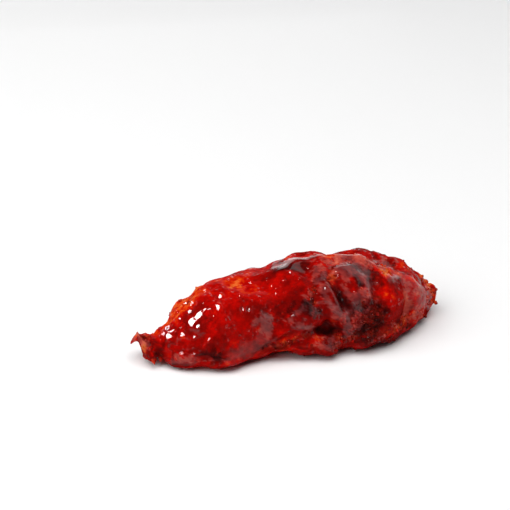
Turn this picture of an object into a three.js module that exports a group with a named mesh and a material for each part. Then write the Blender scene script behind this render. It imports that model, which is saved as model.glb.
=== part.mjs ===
// A fried chicken tender in sticky glaze, lying on its flatter side: one solid, in millimetres.
// +X runs from the thin torn tail to the blunt end, -Y is the side with the deep fold, +Z is up.
import * as THREE from "three";

// Driving sizes.
const LENGTH = 120; // tail to blunt end
const WIDTH = 44; // across the fullest section, before its lobes
const HEIGHT = 32; // of the fullest section, before its lobes
const RISE = 0.68; // share of a section's height that lies above its widest line
const SQUARENESS = 0.06; // how far a section swells between its four quarters
const RINGS = 80;
const SIDES = 54;
const END_CROWDING = 0.5; // how much closer the rings stand at the two ends

// Sections from tail to blunt end. along, half and tall are shares of the length, of half the width
// and of the height. bend is how far the section lies towards +Y, and lift how far its underside
// stands above the table, in millimetres. A negative lift is flesh pressed flat by its own weight.
const SECTIONS = [
  { along: 0.0, half: 0.0, tall: 0.0, bend: 5.0, lift: 7.8 },
  { along: 0.012, half: 0.06, tall: 0.05, bend: 5.0, lift: 9.0 },
  { along: 0.022, half: 0.1, tall: 0.1, bend: 4.7, lift: 8.6 },
  { along: 0.036, half: 0.23, tall: 0.26, bend: 4.1, lift: 2.6 },
  { along: 0.055, half: 0.28, tall: 0.3, bend: 3.6, lift: 1.2 },
  { along: 0.085, half: 0.31, tall: 0.31, bend: 3.3, lift: 1.0 },
  { along: 0.125, half: 0.41, tall: 0.42, bend: 3.0, lift: 0.3 },
  { along: 0.175, half: 0.62, tall: 0.63, bend: 3.0, lift: -0.8 },
  { along: 0.25, half: 0.75, tall: 0.78, bend: 3.0, lift: -1.4 },
  { along: 0.38, half: 0.81, tall: 0.85, bend: 4.5, lift: -1.6 },
  { along: 0.55, half: 0.91, tall: 0.95, bend: 2.5, lift: -1.6 },
  { along: 0.72, half: 0.96, tall: 0.94, bend: 0.0, lift: -1.6 },
  { along: 0.86, half: 0.75, tall: 0.76, bend: 0.5, lift: -0.8 },
  { along: 0.94, half: 0.4, tall: 0.44, bend: 0.2, lift: 1.8 },
  { along: 0.975, half: 0.25, tall: 0.3, bend: 0.0, lift: 3.8 },
  { along: 1.0, half: 0.0, tall: 0.0, bend: 0.0, lift: 8.0 },
];

// Lobes, ridges, folds and pits of the flesh and crust. x is in millimetres from the middle, around in
// degrees from +Y over the top, turn in degrees from the length towards growing around. long and wide
// are the reach along and across, and high is the height of the swelling, negative for a hollow.
const FEATURES = {
  tailHump: { x: -53.5, around: 125, long: 4, wide: 5, turn: 0, high: 0.9 },
  neckFold: { x: -50, around: 140, long: 9, wide: 1.8, turn: 85, high: -2.6 },
  neckNotch: { x: -51.3, around: 197, long: 5, wide: 1.5, turn: 85, high: -4.5 },
  shoulder: { x: -26, around: 114, long: 14, wide: 10, turn: 10, high: 1.0 },
  saddle: { x: -11, around: 85, long: 9, wide: 8, turn: 0, high: -1.3 },
  flankRidge: { x: -15.5, around: 147, long: 8, wide: 3, turn: 85, high: 0.8 },
  flankTuck: { x: -14, around: 203, long: 9, wide: 4, turn: 0, high: -1.4 },
  crumbDip: { x: -8, around: 137, long: 5, wide: 4, turn: 30, high: -1.0 },
  dripEdge: { x: -7, around: 164, long: 11, wide: 2.4, turn: -18, high: 1.4 },
  skirt: { x: -26, around: 200, long: 17, wide: 3.4, turn: -4, high: 1.3 },
  skirtFold: { x: -20, around: 182, long: 16, wide: 2.8, turn: -4, high: -0.9 },
  middleFold: { x: 5.5, around: 114, long: 13, wide: 2.8, turn: 85, high: -1.0 },
  middleRib: { x: 9.4, around: 128, long: 11, wide: 2.8, turn: 80, high: 1.2 },
  ribFold: { x: 15, around: 138, long: 8, wide: 2.6, turn: 76, high: -1.3 },
  upperLobe: { x: 21, around: 120, long: 7, wide: 5, turn: 70, high: 1.5 },
  lobeFold: { x: 27.2, around: 143, long: 10, wide: 2.6, turn: 78, high: -1.8 },
  eyeLobe: { x: 33.2, around: 141, long: 5.5, wide: 5, turn: 80, high: 2.0 },
  endFold: { x: 39.6, around: 152, long: 7, wide: 2.2, turn: 84, high: -1.2 },
  endRing: { x: 45, around: 139, long: 10, wide: 4.6, turn: 85, high: 1.1 },
  deepPit: { x: 7.8, around: 169, long: 4.2, wide: 2.4, turn: 8, high: -3.8 },
  pitLip: { x: 3.5, around: 180, long: 5, wide: 4, turn: 0, high: 1.4 },
  footLobe: { x: 8, around: 200, long: 5, wide: 5, turn: 0, high: 2.8 },
  smallFoot: { x: -2, around: 200, long: 4, wide: 4, turn: 0, high: 1.4 },
  footGap: { x: 15.5, around: 196, long: 8, wide: 3, turn: 70, high: -1.7 },
  charHollow: { x: 23.5, around: 165, long: 6, wide: 4, turn: 0, high: -1.2 },
  frontRidge: { x: 30.5, around: 98, long: 16, wide: 2.6, turn: 23, high: 1.9 },
  ridgeFold: { x: 32, around: 80, long: 15, wide: 2.8, turn: 24, high: -2.2 },
  backCrest: { x: 35, around: 68, long: 4, wide: 4.5, turn: 15, high: 1.1 },
  backKnob: { x: 43, around: 73, long: 4.5, wide: 5, turn: 20, high: 1.0 },
  crownFlat: { x: 12, around: 66, long: 12, wide: 6, turn: 0, high: 1.0 },
  neckSwell: { x: -45, around: 80, long: 6, wide: 6, turn: 0, high: 0.5 },
  edgeSwell: { x: -25, around: 68, long: 8, wide: 6, turn: 0, high: 0.4 },
  farFold: { x: -10, around: 24, long: 26, wide: 3, turn: 8, high: -2.2 },
  farShoulder: { x: -30, around: 34, long: 11, wide: 6, turn: 20, high: 1.3 },
  farLobe: { x: 6, around: 8, long: 11, wide: 7, turn: -10, high: 2.0 },
  farGap: { x: 18.5, around: 22, long: 11, wide: 2.8, turn: 78, high: -2.2 },
  farEnd: { x: 31, around: 12, long: 8, wide: 7, turn: 0, high: 1.6 },
  farHem: { x: -32, around: 340, long: 12, wide: 3.5, turn: 4, high: 1.4 },
};

// Uneven swelling of the whole surface: two sizes of lumps, each a sum of plane waves.
const LUMPS = [
  { size: 15, high: 0.55 },
  { size: 8, high: 0.4 },
];
const WAVES = 7;
const WAVE_SHORTEST = 0.75; // share of the lump size that the shortest plane wave has
const WAVE_SPREAD = 0.5; // how much more of it the longest one has
const GOLDEN = (1 + Math.sqrt(5)) / 2;
const THIN = 12; // half width in millimetres under which features fade out, so that the ends stay whole
const LEAST_GIRTH = 4; // smallest radius in millimetres that a feature's reach across is measured on

// A smooth curve through one field of the sections, with slopes taken from the neighbours.
function through(field, along, power = 1) {
  const last = SECTIONS.length - 1;
  const value = (i) => SECTIONS[i][field] ** power;
  const slope = (i) => {
    const [a, b] = [Math.max(i - 1, 0), Math.min(i + 1, last)];
    return (value(b) - value(a)) / (SECTIONS[b].along - SECTIONS[a].along);
  };
  let i = 0;
  while (i < last - 1 && along >= SECTIONS[i + 1].along) {
    i += 1;
  }
  const span = SECTIONS[i + 1].along - SECTIONS[i].along;
  const t = (along - SECTIONS[i].along) / span;
  const start = (2 * t ** 3 - 3 * t ** 2 + 1) * value(i) + (t ** 3 - 2 * t ** 2 + t) * span * slope(i);
  const end = (3 * t ** 2 - 2 * t ** 3) * value(i + 1) + (t ** 3 - t ** 2) * span * slope(i + 1);
  return start + end;
}

// Half widths and heights are blended as areas, which rounds the two ends.
const rounded = (field, along) => Math.sqrt(Math.max(through(field, along, 2), 0));

// The section at a share of the length, in millimetres.
function sectionAt(along) {
  const tall = HEIGHT * rounded("tall", along);
  return {
    x: LENGTH * (along - 0.5),
    half: (WIDTH / 2) * rounded("half", along),
    tall,
    bend: through("bend", along),
    middle: (1 - RISE) * tall + through("lift", along),
  };
}

// Height of one feature at a place on a section.
function featureHeight(feature, section, angle) {
  const girth = Math.max((section.half + section.tall / 2) / 2, LEAST_GIRTH);
  const apart = angle - THREE.MathUtils.degToRad(feature.around);
  const across = Math.atan2(Math.sin(apart), Math.cos(apart)) * girth;
  const turn = THREE.MathUtils.degToRad(feature.turn);
  const offset = section.x - feature.x;
  const p = (offset * Math.cos(turn) + across * Math.sin(turn)) / feature.long;
  const q = (across * Math.cos(turn) - offset * Math.sin(turn)) / feature.wide;
  return feature.high * Math.exp(-(p * p + q * q));
}

// Sum of plane waves whose directions spiral round the sphere, between about -1 and 1.
function lumpsAt(point, size) {
  let sum = 0;
  for (let k = 0; k < WAVES; k += 1) {
    const up = 1 - (2 * k + 1) / WAVES;
    const turn = 2 * Math.PI * k * GOLDEN;
    const flat = Math.sqrt(1 - up * up);
    const reach = point.x * flat * Math.cos(turn) + point.y * flat * Math.sin(turn) + point.z * up;
    const wave = size * (WAVE_SHORTEST + WAVE_SPREAD * ((k * GOLDEN) % 1));
    sum += Math.sin((2 * Math.PI * reach) / wave + k);
  }
  return sum / Math.sqrt(WAVES);
}

// A point of the surface: the plain section, pushed out by features and lumps, and flat on the table.
function surfacePoint(section, angle) {
  const [c, s] = [Math.cos(angle), Math.sin(angle)];
  const swell = 1 + SQUARENESS * Math.sin(2 * angle) ** 2;
  const high = section.tall * (s > 0 ? RISE : 1 - RISE);
  const plain = new THREE.Vector3(
    section.x,
    section.bend + c * section.half * swell,
    section.middle + s * high * swell,
  );
  let push = 0;
  for (const feature of Object.values(FEATURES)) {
    push += featureHeight(feature, section, angle);
  }
  for (const lump of LUMPS) {
    push += lump.high * lumpsAt(plain, lump.size);
  }
  push *= Math.min(section.half / THIN, 1);
  return new THREE.Vector3(plain.x, plain.y + c * push, Math.max(plain.z + s * push, 0));
}

// The closed surface: one point at each end, and rings of points between them.
function tenderGeometry() {
  const points = [];
  for (let i = 0; i <= RINGS; i += 1) {
    const even = i / RINGS;
    const along = even - (END_CROWDING * Math.sin(2 * Math.PI * even)) / (2 * Math.PI);
    const section = sectionAt(along);
    const count = i === 0 || i === RINGS ? 1 : SIDES;
    for (let j = 0; j < count; j += 1) {
      points.push(surfacePoint(section, (2 * Math.PI * j) / SIDES));
    }
  }
  const at = (ring, side) => 1 + (ring - 1) * SIDES + (side % SIDES);
  const end = points.length - 1;
  const faces = [];
  for (let j = 0; j < SIDES; j += 1) {
    faces.push(0, at(1, j + 1), at(1, j));
    faces.push(end, at(RINGS - 1, j), at(RINGS - 1, j + 1));
    for (let i = 1; i < RINGS - 1; i += 1) {
      faces.push(at(i, j), at(i, j + 1), at(i + 1, j + 1));
      faces.push(at(i, j), at(i + 1, j + 1), at(i + 1, j));
    }
  }
  const geometry = new THREE.BufferGeometry().setFromPoints(points);
  geometry.setIndex(faces);
  geometry.computeBoundingBox();
  const centre = geometry.boundingBox.getCenter(new THREE.Vector3());
  geometry.translate(-centre.x, -centre.y, 0);
  geometry.computeVertexNormals();
  return geometry;
}

const glazedCrust = new THREE.MeshStandardMaterial({ color: 0xa0140a, roughness: 0.25, metalness: 0 });

const tender = new THREE.Mesh(tenderGeometry(), glazedCrust);
tender.name = "tender";
const group = new THREE.Group();
group.add(tender);

export default group;
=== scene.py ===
# A fried chicken tender in a sticky red glaze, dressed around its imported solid.
# Lengths are worked out in millimetres and put into the meshes in metres.
import itertools
import bpy
import numpy as np
from mathutils import Matrix, Vector


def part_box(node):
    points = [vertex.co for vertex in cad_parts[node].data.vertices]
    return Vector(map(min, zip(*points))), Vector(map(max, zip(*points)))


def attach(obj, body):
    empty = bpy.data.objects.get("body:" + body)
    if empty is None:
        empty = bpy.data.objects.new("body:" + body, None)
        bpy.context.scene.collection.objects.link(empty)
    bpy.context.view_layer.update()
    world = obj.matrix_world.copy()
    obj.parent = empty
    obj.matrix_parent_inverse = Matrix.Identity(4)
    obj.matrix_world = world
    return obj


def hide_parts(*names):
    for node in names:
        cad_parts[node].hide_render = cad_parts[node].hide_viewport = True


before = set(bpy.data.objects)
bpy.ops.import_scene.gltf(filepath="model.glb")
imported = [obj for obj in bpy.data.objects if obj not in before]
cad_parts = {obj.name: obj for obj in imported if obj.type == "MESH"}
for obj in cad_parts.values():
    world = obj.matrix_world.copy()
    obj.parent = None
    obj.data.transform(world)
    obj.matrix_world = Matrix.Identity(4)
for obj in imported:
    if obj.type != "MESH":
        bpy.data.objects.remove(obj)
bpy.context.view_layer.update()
metre = 1000.0  # millimetres in one metre
cadLow, cadHigh = [np.array(corner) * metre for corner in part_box("tender")]
latticeCells = 64  # random values repeat after this many lattice cells
print("frame loaded, tender box in mm:", np.round(cadLow, 1), np.round(cadHigh, 1))


def smoothStep(value, start, end):
    # 0 up to start, 1 from end on, and 3t^2 - 2t^3 between them
    t = np.clip((value - start) / (end - start), 0.0, 1.0)
    return t * t * (3.0 - 2.0 * t)


def slopeNoise(points, size, seed):
    # Each corner of a cubic lattice has a random slope; inside a cell the eight slopes are blended
    # with 6t^5 - 15t^4 + 10t^3 along each axis. The result lies between about -1 and 1.
    slopes = np.random.default_rng(seed).normal(size=(latticeCells,) * 3 + (3,))
    slopes /= np.linalg.norm(slopes, axis=-1, keepdims=True)
    places = points / size
    cell = np.floor(places).astype(int)
    t = places - cell
    fade = t**3 * (t * (6.0 * t - 15.0) + 10.0)
    total = np.zeros(points.shape[:-1])
    for corner in itertools.product((0, 1), repeat=3):
        at = (cell + corner) % latticeCells
        slope = slopes[at[..., 0], at[..., 1], at[..., 2]]
        share = np.where(np.array(corner) == 1, fade, 1.0 - fade).prod(-1)
        total += share * ((t - corner) * slope).sum(-1)
    return 1.5 * total


def layeredNoise(points, size, seed, layers=3, fall=0.5):
    # Sum of slope noises, each half the size of the one before and fall times as strong
    total = 0.0
    for layer in range(layers):
        total += fall**layer * slopeNoise(points, size / 2**layer, seed + layer)
    return total


def cellNoise(points, size, seed):
    # One random point in each cubic cell: the distances to the nearest and the second nearest
    # point as shares of the cell size, and a random number that belongs to the nearest one.
    rng = np.random.default_rng(seed)
    spots = rng.uniform(0.0, 1.0, (latticeCells,) * 3 + (3,))
    numbers = rng.uniform(0.0, 1.0, (latticeCells,) * 3)
    places = points / size
    cell = np.floor(places).astype(int)
    t = places - cell
    nearest = np.full(points.shape[:-1], 9.0)
    second = np.full(points.shape[:-1], 9.0)
    number = np.zeros(points.shape[:-1])
    for step in itertools.product((-1, 0, 1), repeat=3):
        at = (cell + step) % latticeCells
        index = (at[..., 0], at[..., 1], at[..., 2])
        away = np.linalg.norm(spots[index] + step - t, axis=-1)
        closer = away < nearest
        second = np.where(closer, nearest, np.minimum(second, away))
        number = np.where(closer, numbers[index], number)
        nearest = np.where(closer, away, nearest)
    return nearest, second, number


form = dict(
    length=120.0,
    width=44.0,
    height=32.0,
    rise=0.68,  # share of a section's height above its widest line
    squareness=0.06,
    rings=330,
    sides=286,
    endCrowding=0.5,
    thin=12.0,  # half width under which features fade out
    leastGirth=4.0,
    lumps=((15.0, 0.55), (8.0, 0.4)),  # size and height
    waves=7,
    waveLengths=(0.75, 0.5),  # shares of the lump's size: the shortest, and how much is added
)

# along (share of length), half width, height (shares), bend towards +Y, lift above the table
sections = np.array([
    (0.000, 0.00, 0.00, 5.0, 7.8),
    (0.012, 0.06, 0.05, 5.0, 9.0),
    (0.022, 0.10, 0.10, 4.7, 8.6),
    (0.036, 0.23, 0.26, 4.1, 2.6),
    (0.055, 0.28, 0.30, 3.6, 1.2),
    (0.085, 0.31, 0.31, 3.3, 1.0),
    (0.125, 0.41, 0.42, 3.0, 0.3),
    (0.175, 0.62, 0.63, 3.0, -0.8),
    (0.250, 0.75, 0.78, 3.0, -1.4),
    (0.380, 0.81, 0.85, 4.5, -1.6),
    (0.550, 0.91, 0.95, 2.5, -1.6),
    (0.720, 0.96, 0.94, 0.0, -1.6),
    (0.860, 0.75, 0.76, 0.5, -0.8),
    (0.940, 0.40, 0.44, 0.2, 1.8),
    (0.975, 0.25, 0.30, 0.0, 3.8),
    (1.000, 0.00, 0.00, 0.0, 8.0),
])

# x from the middle, around in degrees from +Y over the top, reach along and across, turn, height
features = dict(
    tailHump=(-53.5, 125, 4, 5, 0, 0.9),
    neckFold=(-50, 140, 9, 1.8, 85, -2.6),
    neckNotch=(-51.3, 197, 5, 1.5, 85, -4.5),
    shoulder=(-26, 114, 14, 10, 10, 1.0),
    saddle=(-11, 85, 9, 8, 0, -1.3),
    flankRidge=(-15.5, 147, 8, 3, 85, 0.8),
    flankTuck=(-14, 203, 9, 4, 0, -1.4),
    crumbDip=(-8, 137, 5, 4, 30, -1.0),
    dripEdge=(-7, 164, 11, 2.4, -18, 1.4),
    skirt=(-26, 200, 17, 3.4, -4, 1.3),
    skirtFold=(-20, 182, 16, 2.8, -4, -0.9),
    middleFold=(5.5, 114, 13, 2.8, 85, -1.0),
    middleRib=(9.4, 128, 11, 2.8, 80, 1.2),
    ribFold=(15, 138, 8, 2.6, 76, -1.3),
    upperLobe=(21, 120, 7, 5, 70, 1.5),
    lobeFold=(27.2, 143, 10, 2.6, 78, -1.8),
    eyeLobe=(33.2, 141, 5.5, 5, 80, 2.0),
    endFold=(39.6, 152, 7, 2.2, 84, -1.2),
    endRing=(45, 139, 10, 4.6, 85, 1.1),
    deepPit=(7.8, 169, 4.2, 2.4, 8, -3.8),
    pitLip=(3.5, 180, 5, 4, 0, 1.4),
    footLobe=(8, 200, 5, 5, 0, 2.8),
    smallFoot=(-2, 200, 4, 4, 0, 1.4),
    footGap=(15.5, 196, 8, 3, 70, -1.7),
    charHollow=(23.5, 165, 6, 4, 0, -1.2),
    frontRidge=(30.5, 98, 16, 2.6, 23, 1.9),
    ridgeFold=(32, 80, 15, 2.8, 24, -2.2),
    backCrest=(35, 68, 4, 4.5, 15, 1.1),
    backKnob=(43, 73, 4.5, 5, 20, 1.0),
    crownFlat=(12, 66, 12, 6, 0, 1.0),
    neckSwell=(-45, 80, 6, 6, 0, 0.5),
    edgeSwell=(-25, 68, 8, 6, 0, 0.4),
    farFold=(-10, 24, 26, 3, 8, -2.2),
    farShoulder=(-30, 34, 11, 6, 20, 1.3),
    farLobe=(6, 8, 11, 7, -10, 2.0),
    farGap=(18.5, 22, 11, 2.8, 78, -2.2),
    farEnd=(31, 12, 8, 7, 0, 1.6),
    farHem=(-32, 340, 12, 3.5, 4, 1.4),
)
golden = (1.0 + 5.0**0.5) / 2.0


def through(places, values, at):
    # Cubic curve through the values; the slope at each is the change between its two neighbours
    # divided by how far apart they are.
    number = np.arange(len(places))
    before = np.maximum(number - 1, 0)
    after = np.minimum(number + 1, len(places) - 1)
    slope = (values[after] - values[before]) / (places[after] - places[before])
    i = np.clip(np.searchsorted(places, at, side="right") - 1, 0, len(places) - 2)
    span = places[i + 1] - places[i]
    t = (at - places[i]) / span
    start = (2 * t**3 - 3 * t**2 + 1) * values[i] + (t**3 - 2 * t**2 + t) * span * slope[i]
    end = (3 * t**2 - 2 * t**3) * values[i + 1] + (t**3 - t**2) * span * slope[i + 1]
    return start + end


def rounded(column, along):
    # Half widths and heights are blended as squares, which rounds the two ends
    return np.sqrt(np.maximum(through(sections[:, 0], sections[:, column] ** 2, along), 0.0))


def acrossFrom(around, angle, girth):
    # The angle between a place and this one in degrees, taken the short way round, times the girth
    apart = angle - np.radians(around)
    return np.arctan2(np.sin(apart), np.cos(apart)) * girth


def patchAt(x, angle, girth, place):
    # exp(-(p^2 + q^2)): p and q are the distances along and across the turned patch over its reaches
    middleX, around, long, wide, turn = place[:5]
    across = acrossFrom(around, angle, girth)
    c, s = np.cos(np.radians(turn)), np.sin(np.radians(turn))
    p = ((x - middleX) * c + across * s) / long
    q = (across * c - (x - middleX) * s) / wide
    return np.exp(-(p**2 + q**2))


def lumpsAt(points, size):
    # Sum of sine waves whose directions spiral round the sphere
    total = 0.0
    shortest, added = form["waveLengths"]
    for k in range(form["waves"]):
        up = 1 - (2 * k + 1) / form["waves"]
        turn = 2 * np.pi * k * golden
        flat = np.sqrt(1 - up * up)
        reach = points @ np.array((flat * np.cos(turn), flat * np.sin(turn), up))
        wave = size * (shortest + added * ((k * golden) % 1))
        total += np.sin(2 * np.pi * reach / wave + k)
    return total / np.sqrt(form["waves"])


def mainForm():
    # Point = section centre + cosine and sine of the angle times half width and height, pushed out by
    # the features and lumps, never under the table, then set into the solid's box.
    even = np.linspace(0.0, 1.0, form["rings"] + 1)
    along = even - form["endCrowding"] * np.sin(2 * np.pi * even) / (2 * np.pi)
    turn = np.linspace(0.0, 2 * np.pi, form["sides"], endpoint=False)
    along, angle = np.meshgrid(along, turn, indexing="ij")
    half = form["width"] / 2 * rounded(1, along)
    tall = form["height"] * rounded(2, along)
    bend = through(sections[:, 0], sections[:, 3], along)
    middle = (1 - form["rise"]) * tall + through(sections[:, 0], sections[:, 4], along)
    x = form["length"] * (along - 0.5)
    c, s = np.cos(angle), np.sin(angle)
    swell = 1 + form["squareness"] * np.sin(2 * angle) ** 2
    tallShare = tall * np.where(s > 0, form["rise"], 1 - form["rise"])
    plain = np.stack((x, bend + c * half * swell, middle + s * tallShare * swell), axis=-1)
    girth = np.maximum((half + tall / 2) / 2, form["leastGirth"])
    push = 0.0
    for feature in features.values():
        push += feature[5] * patchAt(x, angle, girth, feature)
    for size, height in form["lumps"]:
        push += height * lumpsAt(plain, size)
    push = push * np.minimum(half / form["thin"], 1.0)
    points = plain + push[..., None] * np.stack((0 * c, c, s), axis=-1)
    points[..., 2] = np.maximum(points[..., 2], 0.0)
    low, high = points.min((0, 1)), points.max((0, 1))
    placed = cadLow + (points - low) / (high - low) * (cadHigh - cadLow)
    return placed, x, angle, girth, half


def outwardNormals(points):
    # Cross product of the steps along and around; at the two poles the direction of the length
    alongStep = np.gradient(points, axis=0)
    aroundStep = np.roll(points, -1, 1) - np.roll(points, 1, 1)
    normal = np.cross(aroundStep, alongStep)
    normal[0] = (-1, 0, 0)
    normal[-1] = (1, 0, 0)
    return normal / np.maximum(np.linalg.norm(normal, axis=-1, keepdims=True), 1e-9)


base, baseX, baseAngle, girth, halfWidth = mainForm()
normals = outwardNormals(base)
stepLong = form["length"] / form["rings"]  # mean distance in mm between two rings
stepAround = 0.40  # and between two sides
print("main form:", base.shape, "points")


def blurred(values, reach):
    # Mean of the neighbours, weighted with exp(-(distance / reach)^2 / 2), closed around the girth
    for axis, spacing in ((0, stepLong), (1, stepAround)):
        stepReach = reach / spacing
        steps = np.arange(-int(3 * stepReach), int(3 * stepReach) + 1)
        weights = np.exp(-0.5 * (steps / stepReach) ** 2)
        weights /= weights.sum()
        count = values.shape[axis]
        total = np.zeros_like(values)
        for step, weight in zip(steps, weights):
            index = np.arange(count) + step
            index = np.clip(index, 0, count - 1) if axis == 0 else index % count
            total += weight * np.take(values, index, axis=axis)
        values = total
    return values


# Slow noises over the main form: size in mm, seed, layers, fall
noises = dict(
    wanderAlong=(7.0, 301, 3),
    wanderAround=(7.0, 311, 3),
    bare=(3.2, 41, 4, 0.75),
    pools=(3.8, 61, 4, 0.8),
    farPools=(14.0, 71, 1),
    paintedSheen=(3.0, 401, 4, 0.75),
    paintedSheenVeil=(3.0, 411, 4, 0.75),
    ripple=(7.0, 121, 1),
    flow=(9.0, 131, 2),
    flecks=(2.6, 231, 3, 0.7),
    mottle=(3.5, 221),
    wrinkle=(5.0, 181, 1),
)

crust = dict(
    # swellings with creases between them: size, height, seed, warp, power of the ruggedness
    swellings=((9.0, 1.3, 151, 0.3, 1.0), (5.0, 1.3, 161, 0.35, 1.0), (2.4, 0.85, 171, 0.35, 1.5)),
    # broken pieces: size, height, seed
    chunks=(3.0, 0.75, 201),
    crumbs=(1.5, 0.40, 211),
    warpWide=1.4, creaseDepth=0.3,
    chunkWarpWide=1.5, chunkWarp=0.45,
    chunkLevel=0.4, groove=0.35,  # cell number of the plain surface, and share of a cell in a groove
    bareCrumbs=0.4,  # crumb height that bareness adds
    mostCrumbs=1.3,
    wrinkleLong=7.0, wrinkleWide=1.7, wrinkleHeight=0.34,
    wrinkleSlant=0.12, wrinkleShift=0.3, wrinkleSeed=191,
    wrinkleCrest=0.6, wrinkleFall=2.0,
    raggedness=2.2,  # how far the edges of the patches wander
    ruggedPlain=0.5, ruggedMost=1.4,
    bareNoise=0.6, bareStart=0.05, bareOfRugged=0.1,
    bareEdges=(0.1, 0.9),  # where the crust begins to show, and where it is quite bare
)

glaze = dict(
    depth=0.42,  # over the smoothed crust where it is smooth
    craggyDepth=0.02,  # and where it is most rugged
    bareLoss=0.35,  # depth that a bare place loses
    filmDepth=0.3,  # that the pools add
    filmReach=0.7, filmLevelling=0.6,  # how far and how much the pools even out
    level=0.85,  # reach in mm of the smoothing that the glaze's surface follows
    blend=0.10,
    beadSize=2.6, beadReach=0.30, beadHeight=0.30, beadPaintedSheenLoss=0.7,
    beadChosen=(0.35, 0.8), beadSeed=111,
    rippleHeight=0.25,
    sunk=0.4,  # lowers the relief until it lies about the solid's surface
    thin=6.0,  # half width under which the relief fades out
    spotSmoothing=1.2,  # reach in mm of the smoothing under a glint
    leastFacing=0.3,  # least cosine between a glint's plane and the surface
    poolStrength=1.5, crumblyLoss=2.0, poolNoise=0.95,
    noiseRise=2.0, leastNoise=0.15,  # how soon a patch takes its noise, and the least of it
    filmEdges=(0.55, 0.70),
    plainShine=0.04, plainShare=0.1,
    # the far side has no pools of its own: where it begins in degrees, and its film
    frontMiddle=145, frontEdges=(80, 105),
    farPools=1.6, farPlain=0.2, farShine=0.8,
    paintedSheenEdges=(0.45, 0.58), paintedSheenVeil=0.28,  # where the painted sheen begins, and how strong a veil of it is
)

toning = dict(
    plain=0.36,
    liftPlain=0.35, liftFlecks=1.25,  # share of a lighter patch that shows outside and in flecks
    fleckNoise=0.8, fleckEdges=(-0.2, 0.5),
    film=0.08,
    depth=0.22, middleDepth=0.45, mostDepth=0.5,
    # painted shade in hollows: how much, how wide a hollow is, and the most of it
    hollow=0.10, hollowReach=3.0, mostHollow=1.0,
    chunk=0.37, crumb=0.12, mottle=0.12,  # how unevenly the crumbs are toasted
    ruggedMottle=1.3,
)

# Small forms on top of the main ones: x, around, reach along and across, turn, height
details = dict(
    neckKnob=(-46.5, 98, 2.2, 2.6, 0, 0.9),
    neckTick=(-47, 121, 2, 1.8, 0, 0.7),
    rimRidge=(-44.5, 171, 7, 1.1, -3, 1),
    rimRise=(-37.5, 160, 4, 1, -37, 1),
    hem=(-46, 206, 4, 3, 0, 1.3),
    rimFold=(-42, 165, 8, 1.1, -8, -0.5),
    terraceTop=(-11.5, 168, 8, 1, -21, 0.7),
    terraceTopFold=(-11, 172.5, 8, 0.9, -21, -0.5),
    terraceMiddle=(-9.5, 177, 8, 1, -20, 0.7),
    terraceLow=(-6, 186, 8, 1.2, -12, 0.6),
    strokeRib=(11.6, 144, 5.2, 1.3, 64, 0.6),
    windowHollow=(18, 127, 1.6, 3.6, 10, -0.6),
    rimDimple=(22.5, 127, 1.3, 1, 20, -0.9),
    rimSwell=(22.3, 128, 3, 2.6, 20, 0.5),
    shelf=(20, 140, 4, 2.4, 20, 0.8),
    shelfFold=(18.5, 149, 6, 1.6, 25, -0.9),
    eyeBowl=(32, 142, 4.2, 5, 0, -0.8),
    eyeRim=(37.2, 143, 1.2, 6.5, 0, 0.5),
    eyeLid=(35.5, 120, 6, 1.3, 8, 0.6),
    eyeCorner=(27.2, 121, 1, 2.2, 0, -0.8),
    ringNotch=(41.4, 158, 1, 2.6, 0, -0.9),
    lowBand=(34, 177, 12, 2.2, -10, 0.8),
    lowBandFold=(33, 169, 12, 1.6, -10, -0.7),
    pitCore=(7.5, 170, 3.2, 1.5, 5, -1.3),
    pitTooth=(5.6, 163.5, 1, 1.5, 0, 1),
    pitStep=(10.6, 172.5, 1.3, 1.3, 0, 1.1),
    pitNotch=(8.2, 161.5, 1.1, 1.6, 0, -0.8),
    ridgeNotch=(36, 101, 1.6, 2.6, 10, -0.8),
    backGap=(36.5, 72, 1.3, 5, 10, -1),
    endFill=(53, 95, 2.4, 4, 0, 1.3),
    endTaper=(57.6, 80, 1.7, 4.5, 0, -3),
    crestDip=(20.5, 72, 4.5, 4.5, 0, -0.3),
)

# Small flat spots of glaze that catch the light: x, around, reach, slope along and around, shine
glints = dict(
    gleamLow=(-39.3, 122, 1.55, 0.05, -0.28, 0.9),
    gleamHigh=(-36.7, 116, 1.45, -0.03, -0.04, 0.9),
    gleamTail=(-38, 129, 1.1, -0.07, -0.4, 0.7),
    gleamTop=(-38.6, 99, 1.1, 0.05, 0.64, 0.6),
    tickTop=(-46.3, 93, 1.2, 0.19, 0.63, 0.6),
    tickLow=(-46.9, 118, 1.2, 0.07, -0.08, 0.8),
    tickLeft=(-48.3, 102, 1, 0.24, 0.41, 0.6),
    cheek=(-43.2, 130, 1, 0.48, -0.34, 0.5),
    cheekRight=(-39.7, 141, 0.8, -0.2, -0.68, 0.22),
    belly=(-30.1, 118, 1.4, -0.49, -0.01, 0.6),
    crest=(-27.4, 101, 1.4, -0.96, 0.28, 0.6),
    side=(-21.3, 129, 1.1, -0.81, -0.58, 0.5),
    sideRight=(-19.6, 132, 1.1, -0.85, -0.52, 0.4),
    topMid=(-21.1, 113, 0.9, -0.9, 0.44, 0.3),
    topSmall=(-27.4, 112, 0.8, -0.92, 0.39, 0.4),
    neckA=(-42.2, 99, 0.65, 0.1, 0.6, 0.25),
    neckB=(-38.3, 71, 1, -0.45, 0.89, 0.4),
    neckC=(-36.7, 87, 0.9, 0.18, 0.75, 0.4),
    wrinkle=(-30.9, 77, 0.9, -0.4, 0.65, 0.3),
    saddleA=(-14.5, 92, 0.9, -0.72, 0.41, 0.25),
    saddleC=(-0.5, 99, 1, -0.81, 0.58, 0.4),
    hemA=(-35.1, 149, 0.8, -0.04, -0.77, 0.2),
    hemB=(-44.5, 162, 0.8, 0.22, -0.86, 0.22),
    small=(-27.4, 127, 0.7, -0.92, -0.39, 0.3),
    midC=(-8.1, 120, 0.8, -0.54, 0.34, 0.3),
)

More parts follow.
